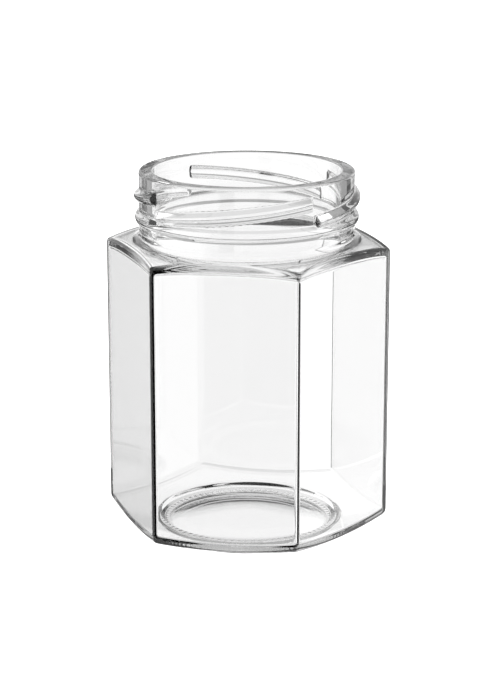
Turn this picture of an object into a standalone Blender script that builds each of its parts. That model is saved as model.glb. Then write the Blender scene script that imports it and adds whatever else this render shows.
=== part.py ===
"""An empty hexagonal packaging jar of clear glass, for a 63 mm twist-off cap.

The jar is one piece of glass, open at the mouth. It stands on a round foot, with its origin at
the centre of the foot's flat face and +Z up. Two opposite corners of the hexagon lie on the X
axis. Sizes are in millimetres and angles in degrees; MM turns sizes into metres.
"""

import math

import bmesh
import bpy

MM = 0.001

# Whole jar
HEIGHT = 102.1                  # foot to the top of the lip
HALF_FLATS = 34.4               # axis to the outside of a panel
CORNER_RADIUS = 1.1             # upright edges, outside
INNER_CORNER_RADIUS = 0.8       # upright edges, inside
WALL = 1.6                      # glass of the panels

# Shoulder: a low dome with a rounded edge over each panel
SHOULDER_ROOT = 83.2            # height where the dome meets the line of the neck
SHOULDER_CURVE = 0.037          # how fast the dome steepens, in slope for each millimetre
SHOULDER_EDGE = 1.3             # radius from the dome over to a panel
SHOULDER_WALL = 2.6             # upright thickness of the glass under the dome
INNER_SHOULDER_EDGE = 1.2

# Heel: the underside between the panels and the foot, with the inside floor level with it
HEEL_EDGE = 2.4                 # radius from a panel under to the heel
HEEL_SLOPE = 0.124              # rise of the heel just outside the foot
HEEL_CURVE = 0.0129             # how fast that rise steepens
HEEL_WALL = 2.1                 # upright thickness of the glass over it
INNER_HEEL_EDGE = 0.8

# Foot: the proud round ring that the jar stands on, and the push-up inside it
FOOT_RADIUS = 25.6              # where its side meets the heel
FOOT_HEIGHT = 2.0
FOOT_SIDE = 0.8                 # width of its rounded side
BEARING_INNER = 22.2            # inner edge of its flat face
PUSH_UP = 1.2                   # rise of the base's middle
PUSH_UP_POWER = 3.5             # how late the rise falls away towards the foot

# Well: the shallow round sink in the inside floor, over the foot
WELL_RADIUS = 24.6              # of its rim
WELL_RUN = 2.0                  # width of its sloping side
WELL_DEPTH = 1.6

# Neck and lip
NECK_RADIUS = 29.6
BORE_RADIUS = 25.8
LIP_OUTER_EDGE = 0.8
LIP_INNER_EDGE = 0.5
NECK_ROOT = 2.2                 # fillet from the neck out to the shoulder
BORE_ROOT = 3.0                 # fillet from the bore out to the underside of the shoulder

# Ring all round the neck, under the lugs
BEAD_MIDDLE = 89.25
BEAD_HALF = 2.3
BEAD_PROUD = 1.1

# Lugs: four short rising threads that the claws of the cap run under
LUGS = 4
LUG_ARC = 87.0                  # plan angle that one lug covers
LUG_START = -132.5              # plan angle of the first one's low end
LUG_LOW = 91.9                  # height of its middle at the low end
LUG_HIGH = 97.0                 # and at the high end
LUG_HALF = 1.9                  # half its height where it meets the neck
LUG_PROUD = 1.4
LUG_ROOTED = 1.0                # how far it reaches into the wall of the neck
LUG_STEPS = 16

# Fineness of the mesh
CORNER_STEPS = 4                # round each upright edge
PANEL_STEPS = 7                 # across each flat panel
MIDDLE_RADIUS = 12.0            # of the last ring before the centre of the floor
PUSH_UP_MIDDLE = 9.0            # and of the push-up


def corner_touch(half_flats, corner):
    """The corner arc's centre distance and the plan angle where it meets the flat panel."""
    centre = (half_flats - corner) / math.cos(math.pi / 6)
    return centre, math.atan2(corner / 2, centre + corner * math.cos(math.pi / 6))


def hexagon_radius(angle, half_flats, corner):
    """Distance from the axis to the side of a hexagon with rounded corners."""
    off = abs((angle + math.pi / 6) % (math.pi / 3) - math.pi / 6)
    centre, touch = corner_touch(half_flats, corner)
    if off < touch:
        return centre * math.cos(off) + math.sqrt(corner ** 2 - (centre * math.sin(off)) ** 2)
    return half_flats / math.cos(math.pi / 6 - off)


def even_angles():
    """Plan angles of the mesh's columns where the jar is round."""
    count = 6 * (CORNER_STEPS + PANEL_STEPS)
    return [(j - CORNER_STEPS / 2) * 2 * math.pi / count for j in range(count)]


def hexagon_angles(half_flats, corner):
    """Plan angles of the same columns where the jar is six-sided: close round each corner."""
    touch = corner_touch(half_flats, corner)[1]
    angles = []
    for side in range(6):
        middle = side * math.pi / 3
        for step in range(CORNER_STEPS):
            angles.append(middle + touch * (2 * step / CORNER_STEPS - 1))
        for step in range(PANEL_STEPS):
            angles.append(middle + touch + (math.pi / 3 - 2 * touch) * step / PANEL_STEPS)
    return angles


def arc(centre, radius, start, end, steps):
    """Points on an arc in a section, its angles counted from outwards to upwards."""
    points = []
    for step in range(steps + 1):
        turn = math.radians(start + (end - start) * step / steps)
        points.append((centre[0] + radius * math.cos(turn), centre[1] + radius * math.sin(turn)))
    return points


def panel_fillet(panel_r, radius, height, slope, side, steps):
    """Rounding between an upright panel and the surface at its top (side 1) or bottom (-1).

    Returns the distance from the axis where it leaves the surface, and its points from there.
    """
    tilt = 0.2
    for _ in range(20):
        foot = panel_r - radius * (1 - math.sin(tilt))
        tilt = math.atan(-side * slope(foot))
    centre = (panel_r - radius, height(foot) - side * radius * math.cos(tilt))
    return foot, arc(centre, radius, side * (90 - math.degrees(tilt)), 0, steps)


def pipe_fillet(pipe_r, radius, height, slope, steps):
    """Rounding outside an upright pipe that rises from the surface under it, pipe first."""
    tilt = 0.1
    for _ in range(20):
        foot = pipe_r + radius * (1 - math.sin(tilt))
        tilt = math.atan(-slope(foot))
    centre = (pipe_r + radius, height(foot) + radius * math.cos(tilt))
    return foot, arc(centre, radius, 180, 270 - math.degrees(tilt), steps)


def shoulder_height(r):
    return SHOULDER_ROOT - SHOULDER_CURVE * max(r - NECK_RADIUS, 0.0) ** 2 / 2


def shoulder_slope(r):
    return -SHOULDER_CURVE * max(r - NECK_RADIUS, 0.0)


def under_shoulder_height(r):
    return shoulder_height(r) - SHOULDER_WALL


def heel_height(r):
    out = max(r - FOOT_RADIUS, 0.0)
    return FOOT_HEIGHT + HEEL_SLOPE * out + HEEL_CURVE * out ** 2 / 2


def heel_slope(r):
    return HEEL_SLOPE + HEEL_CURVE * max(r - FOOT_RADIUS, 0.0)


def floor_height(r):
    """The inside floor: level with the heel, with the well sunk in its middle."""
    sunk = min(max((WELL_RADIUS - r) / WELL_RUN, 0.0), 1.0)
    return heel_height(r) + HEEL_WALL - WELL_DEPTH * (1 - math.cos(math.pi * sunk)) / 2


def push_up_height(r):
    return PUSH_UP * (1 - (r / BEARING_INNER) ** PUSH_UP_POWER)


def swell(t):
    """A smooth rise from 0 to 1 and back, for t from -1 to 1."""
    return (1 + math.cos(math.pi * t)) / 2


def row(r, z, angles):
    """One closed loop of points; r and z are numbers or one value for each column."""
    count = len(angles)
    radii = r if isinstance(r, list) else [r] * count
    heights = z if isinstance(z, list) else [z] * count
    return [
        (MM * radii[j] * math.cos(angles[j]), MM * radii[j] * math.sin(angles[j]), MM * heights[j])
        for j in range(count)
    ]


def spread_rows(start, feet, height, steps, hexagonal):
    """Rows on a surface between the circle of radius start and the feet of the fillets.

    The columns turn from evenly spaced to the hexagon's spacing on the way out.
    """
    even = even_angles()
    rows = []
    for step in range(steps):
        share = step / steps
        radii = [start + (foot - start) * share for foot in feet]
        angles = [a + (b - a) * share for a, b in zip(even, hexagonal)]
        rows.append(row(radii, [height(r) for r in radii], angles))
    return rows


def fillet_rows(half_flats, corner, radius, height, slope, side, steps, angles):
    """The feet and the rows of the rounding at the top or the bottom of all six panels."""
    fillets = [
        panel_fillet(hexagon_radius(angle, half_flats, corner), radius, height, slope, side, steps)
        for angle in angles
    ]
    feet = [foot for foot, _ in fillets]
    rows = []
    for step in range(steps + 1):
        radii = [points[step][0] for _, points in fillets]
        heights = [points[step][1] for _, points in fillets]
        rows.append(row(radii, heights, angles))
    return feet, rows


def inside_rows():
    """The inside of the jar, from the middle of the floor up to the bore."""
    even = even_angles()
    inner = HALF_FLATS - WALL
    angles = hexagon_angles(inner, INNER_CORNER_RADIUS)
    feet, heel = fillet_rows(
        inner, INNER_CORNER_RADIUS, INNER_HEEL_EDGE, floor_height, heel_slope, -1, 3, angles
    )
    rows = [row(MIDDLE_RADIUS, floor_height(MIDDLE_RADIUS), even)]
    well_steps = 6
    for step in range(well_steps + 1):
        r = WELL_RADIUS - WELL_RUN * (1 - step / well_steps)
        rows.append(row(r, floor_height(r), even))
    rows += spread_rows(FOOT_RADIUS, feet, floor_height, 3, angles) + heel
    feet, edge = fillet_rows(
        inner, INNER_CORNER_RADIUS, INNER_SHOULDER_EDGE, under_shoulder_height, shoulder_slope,
        1, 3, angles,
    )
    root, bore = pipe_fillet(BORE_RADIUS, BORE_ROOT, under_shoulder_height, shoulder_slope, 4)
    under = spread_rows(root, feet, under_shoulder_height, 3, angles)
    rows += edge[::-1] + under[:0:-1]
    rows += [row(r, z, even) for r, z in bore[::-1]]
    return rows


def lip_and_neck_rows():
    """The lip and the outside of the neck, with its ring, down to the shoulder's root fillet."""
    outline = arc((BORE_RADIUS + LIP_INNER_EDGE, HEIGHT - LIP_INNER_EDGE), LIP_INNER_EDGE,
                  180, 90, 3)
    outline += arc((NECK_RADIUS - LIP_OUTER_EDGE, HEIGHT - LIP_OUTER_EDGE), LIP_OUTER_EDGE,
                   90, 0, 3)
    bead_steps = 8
    for step in range(bead_steps + 1):
        t = 1 - 2 * step / bead_steps
        outline.append((NECK_RADIUS + BEAD_PROUD * swell(t), BEAD_MIDDLE + BEAD_HALF * t))
    root, fillet = pipe_fillet(NECK_RADIUS, NECK_ROOT, shoulder_height, shoulder_slope, 4)
    outline += fillet
    return root, [row(r, z, even_angles()) for r, z in outline]


def outside_rows(root):
    """The shoulder, the six panels, the heel and the foot, to the middle of the push-up."""
    even = even_angles()
    angles = hexagon_angles(HALF_FLATS, CORNER_RADIUS)
    feet, edge = fillet_rows(
        HALF_FLATS, CORNER_RADIUS, SHOULDER_EDGE, shoulder_height, shoulder_slope, 1, 4, angles
    )
    rows = spread_rows(root, feet, shoulder_height, 3, angles)[1:] + edge
    feet, heel = fillet_rows(
        HALF_FLATS, CORNER_RADIUS, HEEL_EDGE, heel_height, heel_slope, -1, 4, angles
    )
    rows += heel[::-1] + spread_rows(FOOT_RADIUS, feet, heel_height, 3, angles)[::-1]
    side_steps = 4
    for step in range(1, side_steps + 1):
        share = step / side_steps
        z = FOOT_HEIGHT * (1 - math.sin(math.pi / 2 * share))
        rows.append(row(FOOT_RADIUS - FOOT_SIDE * share, z, even))
    push_up_steps = 5
    for step in range(push_up_steps + 1):
        r = BEARING_INNER + (PUSH_UP_MIDDLE - BEARING_INNER) * step / push_up_steps
        rows.append(row(r, push_up_height(r), even))
    return rows


def make_mesh(name, rows, bottom, top):
    """A closed mesh: each row joined to the next, with a fan to a point at either end."""
    shape = bmesh.new()
    loops = [[shape.verts.new(point) for point in points] for points in rows]
    count = len(rows[0])
    for lower, upper in zip(loops, loops[1:]):
        for j in range(count):
            k = (j + 1) % count
            shape.faces.new((lower[j], lower[k], upper[k], upper[j]))
    for loop, point in ((loops[0], bottom), (loops[-1], top)):
        centre = shape.verts.new(point)
        for j in range(count):
            shape.faces.new((centre, loop[j], loop[(j + 1) % count]))
    bmesh.ops.recalc_face_normals(shape, faces=shape.faces)
    mesh = bpy.data.meshes.new(name)
    shape.to_mesh(mesh)
    shape.free()
    return mesh


def make_glass():
    """Clear colourless glass, polished by the fire."""
    glass = bpy.data.materials.new("clear_glass")
    glass.use_nodes = True
    shader = glass.node_tree.nodes["Principled BSDF"]
    shader.inputs["Base Color"].default_value = (1.0, 1.0, 1.0, 1.0)
    shader.inputs["Roughness"].default_value = 0.02
    shader.inputs["Metallic"].default_value = 0.0
    shader.inputs["IOR"].default_value = 1.5
    shader.inputs["Transmission Weight"].default_value = 1.0
    return glass


def make_blank():
    """The jar without its lugs."""
    root, neck = lip_and_neck_rows()
    rows = inside_rows() + neck + outside_rows(root)
    return make_mesh("jar", rows, (0, 0, MM * floor_height(0)), (0, 0, MM * push_up_height(0)))


def make_lugs():
    """The four lugs: a rounded bar along each rising arc, cut square at both ends."""
    shape = bmesh.new()
    profile_steps = 8
    for lug in range(LUGS):
        loops = []
        for step in range(LUG_STEPS + 1):
            share = step / LUG_STEPS
            turn = math.radians(LUG_START + lug * 360 / LUGS + LUG_ARC * share)
            middle = LUG_LOW + (LUG_HIGH - LUG_LOW) * share
            outline = [(NECK_RADIUS - LUG_ROOTED, -LUG_HALF)]
            for point in range(profile_steps + 1):
                t = 2 * point / profile_steps - 1
                outline.append((NECK_RADIUS + LUG_PROUD * (1 - abs(t) ** 1.8), LUG_HALF * t))
            outline.append((NECK_RADIUS - LUG_ROOTED, LUG_HALF))
            loops.append([
                shape.verts.new(
                    (MM * r * math.cos(turn), MM * r * math.sin(turn), MM * (middle + z))
                )
                for r, z in outline
            ])
        for loop, following in zip(loops, loops[1:]):
            for j in range(len(loop)):
                k = (j + 1) % len(loop)
                shape.faces.new((loop[j], loop[k], following[k], following[j]))
        shape.faces.new(loops[0][::-1])
        shape.faces.new(loops[-1])
    bmesh.ops.recalc_face_normals(shape, faces=shape.faces)
    mesh = bpy.data.meshes.new("lugs")
    shape.to_mesh(mesh)
    shape.free()
    return mesh


def clear_scene():
    for thing in list(bpy.data.objects):
        bpy.data.objects.remove(thing, do_unlink=True)


def make_jar():
    """The finished jar, with the lugs joined to the neck so that it is one solid."""
    jar = bpy.data.objects.new("jar", make_blank())
    lugs = bpy.data.objects.new("lugs", make_lugs())
    for thing in (jar, lugs):
        bpy.context.collection.objects.link(thing)
    lugs.hide_render = True
    lugs.display_type = "WIRE"
    join = jar.modifiers.new("lugs", "BOOLEAN")
    join.operation = "UNION"
    join.object = lugs
    jar.data.materials.append(make_glass())
    jar.data.shade_smooth()
    jar.data.set_sharp_from_angle(angle=math.radians(40))
    return jar


clear_scene()
make_jar()
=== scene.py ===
"""An empty hexagonal jar of clear glass on a white table, in plain soft light."""

import math

import bpy
import numpy as np
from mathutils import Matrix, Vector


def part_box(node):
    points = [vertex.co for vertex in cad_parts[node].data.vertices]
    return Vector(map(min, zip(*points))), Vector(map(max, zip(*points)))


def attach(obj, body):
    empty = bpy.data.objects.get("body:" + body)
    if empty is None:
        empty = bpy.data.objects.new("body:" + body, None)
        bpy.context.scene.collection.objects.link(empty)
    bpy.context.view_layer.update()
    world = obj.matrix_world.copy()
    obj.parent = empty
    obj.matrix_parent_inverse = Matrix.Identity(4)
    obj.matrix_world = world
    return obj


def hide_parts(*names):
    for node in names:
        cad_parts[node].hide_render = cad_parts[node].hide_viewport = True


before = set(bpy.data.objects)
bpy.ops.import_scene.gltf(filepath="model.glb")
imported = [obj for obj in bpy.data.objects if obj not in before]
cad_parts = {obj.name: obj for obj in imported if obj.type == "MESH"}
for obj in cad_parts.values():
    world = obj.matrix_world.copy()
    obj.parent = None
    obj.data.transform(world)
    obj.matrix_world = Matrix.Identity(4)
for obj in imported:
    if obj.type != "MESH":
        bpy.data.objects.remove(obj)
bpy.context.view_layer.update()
MM = 0.001


# The jar's body. Clear soda-lime glass, pressed and blown in a mould in one piece with the neck
# and the base. Every surface is a closed loop of points round the axis, and each loop is joined
# to the next, from the middle of the floor up the inside, over the lip and down the outside.
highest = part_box("jar")[1]
height = highest[2] / MM        # foot to lip
half_flats = highest[1] / MM    # axis to the outside of a panel
wall = 1.6
corner_radius = 1.1             # upright edges, outside
inner_corner_radius = 0.8
neck_radius = 29.6
bore_radius = 25.8

columns_per_side = 72           # points of a loop from one upright edge to the next
corner_columns = 18             # how many of them go round the edge
columns = 6 * columns_per_side
settling = 30                   # rounds in which a fillet's place settles


def corner_touch(flats, corner):
    """The corner arc's centre distance and the plan angle where it meets the flat panel."""
    centre = (flats - corner) / math.cos(math.pi / 6)
    return centre, math.atan2(corner / 2, centre + corner * math.cos(math.pi / 6))


def hexagon_radius(angle, flats, corner):
    """Distances from the axis to the side of a hexagon with rounded corners."""
    off = np.abs((angle + math.pi / 6) % (math.pi / 3) - math.pi / 6)
    centre, touch = corner_touch(flats, corner)
    inside = np.maximum(corner ** 2 - (centre * np.sin(off)) ** 2, 0)
    rounded = centre * np.cos(off) + np.sqrt(inside)
    return np.where(off < touch, rounded, flats / np.cos(math.pi / 6 - off))


def hexagon_angles(flats, corner):
    """Plan angles of the columns: many round each upright edge, the rest across the panels."""
    touch = corner_touch(flats, corner)[1]
    round_edge = np.linspace(-touch, touch, corner_columns + 1)
    across = np.linspace(touch, math.pi / 3 - touch, columns_per_side - corner_columns + 1)
    side = np.concatenate([round_edge[:-1], across[:-1]])
    return np.concatenate([side + k * math.pi / 3 for k in range(6)])


def even_angles():
    """Plan angles of the same columns where the glass is round."""
    return (np.arange(columns) - corner_columns / 2) * 2 * math.pi / columns


def row(r, z, angles):
    """One closed loop of points."""
    r, z = np.broadcast_arrays(r, z, angles)[:2]
    return np.stack([r * np.cos(angles), r * np.sin(angles), z], 1)


def arc(centre, radius, start, end, steps):
    """Points on an arc in a section, its angles counted from outwards to upwards."""
    turn = np.radians(np.linspace(start, end, steps + 1))
    return [(centre[0] + radius * math.cos(t), centre[1] + radius * math.sin(t)) for t in turn]


def panel_fillet_rows(flats, corner, radius, surface, slope, side, steps):
    """Rounding between the panels and the surface at their top (side 1) or bottom (-1).

    Returns how far out it leaves the surface, and its rows from there to the panels.
    """
    angles = hexagon_angles(flats, corner)
    reach = hexagon_radius(angles, flats, corner)
    tilt = np.full(columns, 0.2)    # of the surface where the fillet leaves it, a first guess
    for _ in range(settling):
        foot = reach - radius * (1 - np.sin(tilt))
        tilt = np.arctan(-side * slope(foot))
    middle = surface(foot) - side * radius * np.cos(tilt)
    rows = []
    for share in np.linspace(0, 1, steps + 1):
        turn = (math.pi / 2 - tilt) * (1 - share)
        out = reach - radius + radius * np.cos(turn)
        rows.append(row(out, middle + side * radius * np.sin(turn), angles))
    return foot, rows


def pipe_fillet(pipe, radius, surface, slope, steps):
    """Rounding outside an upright pipe that rises from the surface under it, pipe first."""
    tilt = 0.1                      # a first guess, as above
    for _ in range(settling):
        foot = pipe + radius * (1 - math.sin(tilt))
        tilt = math.atan(-slope(foot))
    centre = (pipe + radius, surface(foot) + radius * math.cos(tilt))
    return foot, arc(centre, radius, 180, 270 - math.degrees(tilt), steps)


def spread_rows(start, feet, surface, flats, corner, steps):
    """Rows on a surface from the circle of radius start out to the feet of the fillets.

    The columns turn from evenly spaced to the hexagon's spacing on the way out.
    """
    even, hexagonal = even_angles(), hexagon_angles(flats, corner)
    rows = []
    for share in np.linspace(0, 1, steps + 1)[:-1]:
        r = start + (feet - start) * share
        rows.append(row(r, surface(r), even + (hexagonal - even) * share))
    return rows


# The heel and the inside floor. The underside rises from a proud round foot towards the panels,
# so their lower edges are shallow arcs. The floor follows it at an even thickness, with a
# shallow round well pressed into it over the foot.
heel_edge = 2.4
heel_rise = 0.124               # slope of the heel just outside the foot
heel_curve = 0.0129             # how fast that slope steepens
heel_wall = 2.1                 # upright thickness of the glass over the heel
floor_edge = 0.8
foot_radius = 25.6              # where the foot's side meets the heel
foot_height = 2.0
well_radius = 24.6
well_run = 2.0                  # width of its sloping side
well_depth = 1.6
middle_radius = 3.0             # of the ring of points next to the middle of floor and base
level_radius = 20.0             # out to here the floor is level and needs few rings
level_rings = 4
well_rings = 19                 # down the well's side


def heel(r):
    out = np.maximum(r - foot_radius, 0)
    return foot_height + heel_rise * out + heel_curve * out ** 2 / 2


def heel_slope(r):
    return heel_rise + heel_curve * np.maximum(r - foot_radius, 0)


def floor(r):
    sunk = np.clip((well_radius - r) / well_run, 0, 1)
    return heel(r) + heel_wall - well_depth * (1 - np.cos(math.pi * sunk)) / 2


inner = half_flats - wall
even = even_angles()
rows = [row(r, floor(r), even) for r in np.linspace(middle_radius, level_radius, level_rings)]
for r in np.linspace(well_radius - well_run, well_radius, well_rings):
    rows.append(row(r, floor(r), even))
feet, edge = panel_fillet_rows(
    inner, inner_corner_radius, floor_edge, floor, heel_slope, side=-1, steps=6)
rows += spread_rows(foot_radius, feet, floor, inner, inner_corner_radius, steps=8) + edge


# The inside of the shoulder. The six walls turn in under the dome at an even thickness, and the
# dome turns up into the bore of the neck. Blowing leaves this edge soft.
shoulder_root = 83.2            # height where the dome meets the line of the neck
shoulder_curve = 0.037          # how fast the dome steepens, in slope for each millimetre
shoulder_wall = 2.6
under_edge = 1.2
bore_root = 3.0


def shoulder(r):
    return shoulder_root - shoulder_curve * np.maximum(r - neck_radius, 0) ** 2 / 2


def shoulder_slope(r):
    return -shoulder_curve * np.maximum(r - neck_radius, 0)


def under_shoulder(r):
    return shoulder(r) - shoulder_wall


feet, edge = panel_fillet_rows(
    inner, inner_corner_radius, under_edge, under_shoulder, shoulder_slope, side=1, steps=8)
foot, bore = pipe_fillet(bore_radius, bore_root, under_shoulder, shoulder_slope, steps=10)
under = spread_rows(foot, feet, under_shoulder, inner, inner_corner_radius, steps=8)
rows += edge[::-1] + under[:0:-1] + [row(r, z, even) for r, z in bore[::-1]]


# The finish: the lip, and the neck with a ring all round it and four interrupted threads that
# a twist-off cap's claws run under. Each thread rises to the right and ends bluntly just above
# the low end of the next one. All of it is moulded with the jar.
lip_outer_edge = 0.8
lip_inner_edge = 0.5
neck_root = 2.2
bead_middle, bead_half, bead_proud = 89.25, 2.0, 1.1
lugs = 4
lug_arc = 87.0                  # degrees of the neck that each covers
lug_start = -132.5              # plan angle of the first one's low end
lug_low, lug_high = 91.9, 97.0
lug_half, lug_proud = 1.9, 1.4
lug_end = 0.8                   # degrees over which its blunt end rises
row_pitch = 0.2                 # between rows in the threads


def ridge(t):
    """A rounded ridge that meets the wall at an angle, for t from -1 to 1."""
    return np.cos(math.pi / 2 * np.clip(t, -1, 1))


def neck_outline(angles, z):
    """How far out the neck reaches, with its ring and its threads."""
    bead = bead_proud * ridge((z - bead_middle) / bead_half)
    along = (np.degrees(angles) - lug_start) % (360 / lugs)
    middle = lug_low + (lug_high - lug_low) * along / lug_arc
    ends = np.clip(np.minimum(along, lug_arc - along) / lug_end + 0.5, 0, 1)
    lug = lug_proud * ends * ridge((z - middle) / lug_half)
    return neck_radius + np.maximum(bead, lug)


lip = arc(
    (bore_radius + lip_inner_edge, height - lip_inner_edge), lip_inner_edge, 180, 90, steps=6)
lip += arc(
    (neck_radius - lip_outer_edge, height - lip_outer_edge), lip_outer_edge, 90, 0, steps=8)
rows += [row(r, z, even) for r, z in lip]
thread_top = lug_high + lug_half + row_pitch
thread_foot = bead_middle - bead_half
thread_rows = round((thread_top - thread_foot) / row_pitch)
for z in np.linspace(thread_top, thread_foot, thread_rows + 1):
    rows.append(row(neck_outline(even, z), z, even))
foot, fillet = pipe_fillet(neck_radius, neck_root, shoulder, shoulder_slope, steps=8)
rows += [row(r, z, even) for r, z in fillet]


# The outside: the shoulder over six flat panels, the heel, and the foot. The foot's flat face is
# knurled, so that the hot jar touches the belt at few points. Inside it the base is pushed up.
shoulder_edge = 1.3
foot_side = 0.8                 # width of the foot's rounded side
bearing_inner = 22.2            # inner edge of its flat face
push_up = 1.2                   # rise of the base's middle
push_up_power = 3.5             # how late the rise falls away towards the foot
ribs = 78
rib_depth = 0.15                # of the grooves between them
foot_steps = 8                  # on the foot's side, and again on its face
base_steps = 14
base_crowding = 1.5             # draws the base's rings together near the foot

feet, edge = panel_fillet_rows(
    half_flats, corner_radius, shoulder_edge, shoulder, shoulder_slope, side=1, steps=8)
rows += spread_rows(foot, feet, shoulder, half_flats, corner_radius, steps=8)[1:] + edge
feet, edge = panel_fillet_rows(
    half_flats, corner_radius, heel_edge, heel, heel_slope, side=-1, steps=12)
rows += edge[::-1]
rows += spread_rows(foot_radius, feet, heel, half_flats, corner_radius, steps=10)[::-1]
for share in np.linspace(0, 1, foot_steps + 1)[1:]:
    z = foot_height * (1 - math.sin(math.pi / 2 * share))
    rows.append(row(foot_radius - foot_side * share, z, even))
groove = rib_depth * (1 - np.cos(ribs * even)) / 2
bearing_outer = foot_radius - foot_side
for share in np.linspace(0, 1, foot_steps + 1)[1:-1]:
    r = bearing_outer + (bearing_inner - bearing_outer) * share
    rows.append(row(r, groove * ridge(2 * share - 1), even))
for share in np.linspace(0, 1, base_steps + 1):
    r = bearing_inner + (middle_radius - bearing_inner) * share ** base_crowding
    rows.append(row(r, push_up * (1 - (r / bearing_inner) ** push_up_power), even))


# The glass itself: the loops joined into one closed skin, with a point at the middle of the
# floor and of the base. It is clear soda-lime glass, fire-polished and faintly wavy, and grey
# where light runs far through the wall. The foot's face is frosted by handling.
points = np.concatenate(rows + [[(0, 0, float(floor(0)))], [(0, 0, push_up)]]) * MM
here = np.arange(columns)
following = (here + 1) % columns
starts = np.arange(len(rows) - 1)[:, None] * columns
bands = np.stack(
    [starts + here, starts + following, starts + columns + following, starts + columns + here], -1)
last = (len(rows) - 1) * columns
floor_point, base_point = len(points) - 2, len(points) - 1
faces = bands.reshape(-1, 4).tolist()
faces += [(floor_point, int(following[j]), j) for j in range(columns)]
faces += [(base_point, last + j, last + int(following[j])) for j in range(columns)]
glass_mesh = bpy.data.meshes.new("glass_jar")
glass_mesh.from_pydata(points.tolist(), [], faces)
glass_mesh.validate()
glass_mesh.flip_normals()
glass_mesh.shade_smooth()
glass_jar = bpy.data.objects.new("glass_jar", glass_mesh)
bpy.context.collection.objects.link(glass_jar)
flat_panels = glass_jar.modifiers.new("flat_panels", "WEIGHTED_NORMAL")
flat_panels.mode = "FACE_AREA"
flat_panels.weight = 50


class Socket:
    """A value in a node tree. Sums and products of such values add Math nodes."""

    def __init__(self, tree, output=None):
        self.tree = tree
        self.output = output

    def node(self, kind, settings=(), values=(), output=0):
        """Add a node: its settings first, then the values or links of its sockets."""
        made = self.tree.nodes.new("ShaderNode" + kind)
        for name, value in dict(settings).items():
            setattr(made, name, value)
        for name, value in dict(values).items():
            if isinstance(value, Socket):
                self.tree.links.new(value.output, made.inputs[name])
            else:
                made.inputs[name].default_value = value
        return Socket(self.tree, made.outputs[output] if made.outputs else None)

    def math(self, operation, *values):
        return self.node("Math", {"operation": operation}, dict(enumerate(values)))

    def __add__(self, other):
        return self.math("ADD", self, other)

    __radd__ = __add__

    def __sub__(self, other):
        return self.math("SUBTRACT", self, other)

    def __rsub__(self, other):
        return self.math("SUBTRACT", other, self)

    def __mul__(self, other):
        return self.math("MULTIPLY", self, other)

    __rmul__ = __mul__

    def ramp(self, start, end):
        """0 below start and 1 above end, eased between them."""
        return self.node("MapRange", {"interpolation_type": "SMOOTHSTEP"},
                         {"Value": self, "From Min": start, "From Max": end})


ripple_size = 0.014             # metres, across one wave left by the mould
ripple_depth = 0.00002
scuff_size = 0.0006             # of the fine scuffs under the foot
scuff_reach = 0.0003            # how far up from the table they reach
scuffs_least, scuffs_more = 0.15, 0.35
glass_grey = 0.5                # colour of the absorption
absorption = 36.0               # its density for each metre of glass

glass = bpy.data.materials.new("clear_glass")
glass.use_nodes = True
glass.node_tree.nodes.clear()
glass_nodes = Socket(glass.node_tree)
place = glass_nodes.node("TexCoord", output="Object")
up = glass_nodes.node("SeparateXYZ", (), {"Vector": place}, "Z")
ripple = glass_nodes.node("TexNoise", (), {
    "Vector": place, "Scale": 1 / ripple_size, "Detail": 1.0})
scuffs = glass_nodes.node("TexNoise", (), {
    "Vector": place, "Scale": 1 / scuff_size, "Detail": 3.0})
frosted = (1 - up.ramp(0, scuff_reach)) * (scuffs_least + scuffs_more * scuffs)
waves = glass_nodes.node("Bump", (), {"Height": ripple, "Distance": ripple_depth})
surface = glass_nodes.node("BsdfPrincipled", (), {
    "Base Color": (1.0, 1.0, 1.0, 1.0), "IOR": 1.5, "Transmission Weight": 1.0,
    "Roughness": frosted, "Normal": waves})
inside = glass_nodes.node("VolumeAbsorption", (), {
    "Color": (glass_grey, glass_grey, glass_grey, 1.0), "Density": absorption})
glass_nodes.node("OutputMaterial", {}, {"Surface": surface, "Volume": inside})
glass_mesh.materials.append(glass)
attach(glass_jar, "root")
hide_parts("jar")


# The table: a sheet of fine-grained white card, glowing evenly so that the jar throws no shadow on
# it. It is there for the camera alone. The glass mirrors and bends the studio in its place.
table_reach = 8.0               # metres from the middle to each edge
table_gap = 0.00005             # keeps the foot clear of the card
card_grain = 0.0008
card_relief = 0.00002
card_smoothest, card_rougher = 0.7, 0.2
table_mesh = bpy.data.meshes.new("table")
table_mesh.from_pydata(
    [(x * table_reach, y * table_reach, -table_gap)
     for x, y in ((-1, -1), (1, -1), (1, 1), (-1, 1))],
    [], [(0, 1, 2, 3)])
table = bpy.data.objects.new("table", table_mesh)
bpy.context.collection.objects.link(table)
table.visible_glossy = False
table.visible_transmission = False
card = bpy.data.materials.new("white_card")
card.use_nodes = True
card.node_tree.nodes.clear()
card_nodes = Socket(card.node_tree)
grain = card_nodes.node("TexNoise", (), {
    "Vector": card_nodes.node("TexCoord", output="Object"),
    "Scale": 1 / card_grain, "Detail": 3.0})
paper = card_nodes.node("BsdfPrincipled", (), {
    "Base Color": (0.9, 0.9, 0.9, 1.0), "Roughness": card_smoothest + card_rougher * grain,
    "Normal": card_nodes.node("Bump", (), {"Height": grain, "Distance": card_relief}),
    "Emission Color": (1.0, 1.0, 1.0, 1.0), "Emission Strength": 1.0})
card_nodes.node("OutputMaterial", {}, {"Surface": paper})
table_mesh.materials.append(card)


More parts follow.
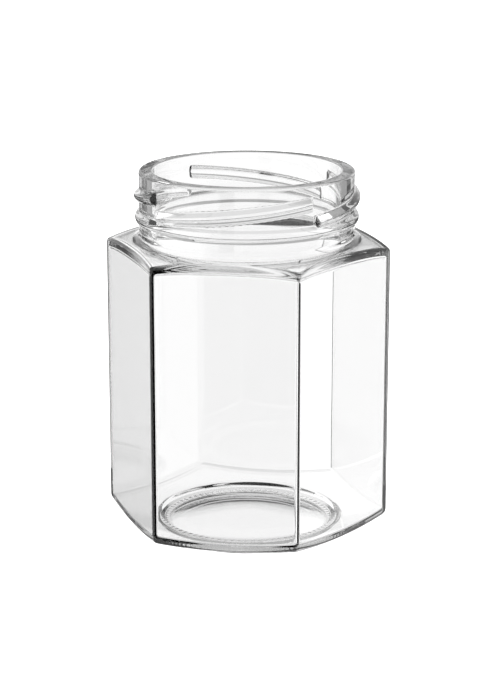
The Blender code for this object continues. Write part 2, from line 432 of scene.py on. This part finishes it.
# The camera, at the height and distance that fit the photo's outlines.
camera_azimuth = math.radians(9.78)
camera_elevation = math.radians(15.3)
camera_distance = 0.5945
target_height = 0.05092
pixels_per_radian = 2134.5
picture_height = 700
camera_data = bpy.data.cameras.new("camera")
camera_data.sensor_width = 36
camera_data.lens = pixels_per_radian * camera_data.sensor_width / picture_height
camera = bpy.data.objects.new("camera", camera_data)
bpy.context.collection.objects.link(camera)
level = camera_distance * math.cos(camera_elevation)
camera.location = (
    level * math.sin(camera_azimuth),
    -level * math.cos(camera_azimuth),
    target_height + camera_distance * math.sin(camera_elevation),
)
camera.rotation_euler = (math.pi / 2 - camera_elevation, 0, camera_azimuth)
bpy.context.scene.camera = camera


# The studio: a bright tent over a grey ground, a white backdrop behind the jar with grey and dark
# boards round it that draw the glass's outlines, a large soft light on either side, and a dark
# board behind the camera. Angles are in degrees, to the left from straight behind the jar and up.
tent = 1.15
boards = (
    # left and right edge, bottom and top, softness, brightness
    (190, -190, -100, -31, 2, 0.65),  # grey ground all round
    (16, -20, -29, 7, 2, 1.1),        # backdrop
    (16, -16, -88, -30, 2, 0.85),     # pale board under it
    (16, -16, 7, 17, 2, 0.4),         # grey board over it
    (16, -16, 17, 31, 2, 0.85),       # light over that, which the base mirrors
    (27, 16, -29, -4, 1, 0.2),        # dark board close on the left
    (49, 27, -29, -4, 1, 0.32),       # grey board that the left panel mirrors
    (-22, -36, -29, -4, 1, 0.05),     # dark board close on the right
    (-36, -64, -29, -4, 1, 0.45),     # grey board beside it
    (120, 49, -29, -4, 2, 1.6),       # light on the left
    (-64, -90, -29, -4, 2, 1.6),      # light on the right
    (166, 150, -29, -4, 1, 0.05),     # dark board behind the camera
)

scene = bpy.context.scene
scene.view_settings.view_transform = "Standard"
world = bpy.data.worlds.new("studio")
scene.world = world
world.use_nodes = True
world.node_tree.nodes.clear()
studio = Socket(world.node_tree)
turned = studio.node("VectorRotate", {"rotation_type": "Z_AXIS"}, {
    "Vector": studio.node("TexCoord", output="Generated"), "Angle": -camera_azimuth})
across = studio.node("SeparateXYZ", (), {"Vector": turned}, "X")
behind = studio.node("SeparateXYZ", (), {"Vector": turned}, "Y")
above = studio.node("SeparateXYZ", (), {"Vector": turned}, "Z")
left = studio.math("ARCTAN2", -1 * across, behind) * (180 / math.pi)
rise = studio.math("ARCSINE", above) * (180 / math.pi)
light = tent
for left_edge, right_edge, bottom, top, soft, brightness in boards:
    wide = left.ramp(right_edge - soft, right_edge + soft) * (
        1 - left.ramp(left_edge - soft, left_edge + soft))
    tall = rise.ramp(bottom - soft, bottom + soft) * (1 - rise.ramp(top - soft, top + soft))
    light = light + (brightness - light) * wide * tall
background = studio.node("Background", (), {"Color": (1.0, 1.0, 1.0, 1.0), "Strength": light})
studio.node("OutputWorld", {}, {"Surface": background})
